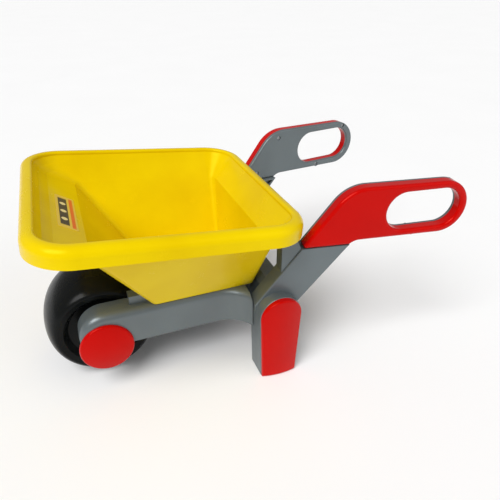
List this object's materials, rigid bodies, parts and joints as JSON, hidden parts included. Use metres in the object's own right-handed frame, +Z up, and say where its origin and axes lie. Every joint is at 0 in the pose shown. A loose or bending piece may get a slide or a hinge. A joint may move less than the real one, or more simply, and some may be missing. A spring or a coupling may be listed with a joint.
{
  "type": "toy wheelbarrow",
  "caption": "Child's plastic wheelbarrow with a deep lipped tub, fork arms round a fat front wheel, straight legs and splayed D-loop handles",
  "frame": {"origin": "on the ground, under the middle of the whole toy", "axes": "+X points back to the handles, -Y is the left of the child who pushes it, +Z is up"},
  "size_m": [0.6664, 0.378, 0.3225],
  "materials": {
    "yellow": "glossy moulded polypropylene",
    "grey": "satin silver-grey moulded plastic",
    "red": "glossy scarlet moulded plastic",
    "black": "glossy black moulded plastic",
    "steel": "zinc-plated steel",
    "bearing": "natural acetal",
    "label": "printed film sticker"
  },
  "bodies": {
    "frame": {"tray": "grey", "rear_beam": "grey", "beam_screws": "steel", "tub": "yellow", "tub_label": "label", "tub_screws": "steel", "axle": "steel", "upright_left": "grey", "upright_right": "grey", "handle_cover_left": "red", "handle_cover_right": "red", "handle_screws_left": "steel", "handle_screws_right": "steel", "leg_cover_left": "red", "leg_cover_right": "red", "leg_cover_screws_left": "steel", "leg_cover_screws_right": "steel", "fork_arm_left": "grey", "fork_arm_right": "grey", "tray_screws_left": "steel", "tray_screws_right": "steel", "upright_screws_left": "steel", "upright_screws_right": "steel", "axle_cap_left": "red", "axle_cap_right": "red", "axle_washer_left": "bearing", "axle_washer_right": "bearing", "push_nut_left": "steel", "push_nut_right": "steel"},
    "wheel": {"wheel_half_left": "black", "wheel_half_right": "black", "wheel_bush_left": "bearing", "wheel_bush_right": "bearing"}
  },
  "joints": [
    {"name": "wheel_spin", "type": "hinge", "parent": "frame", "child": "wheel", "pos_m": [-0.244, 0, 0.089], "axis": [0, 1, 0], "continuous": true}
  ]
}
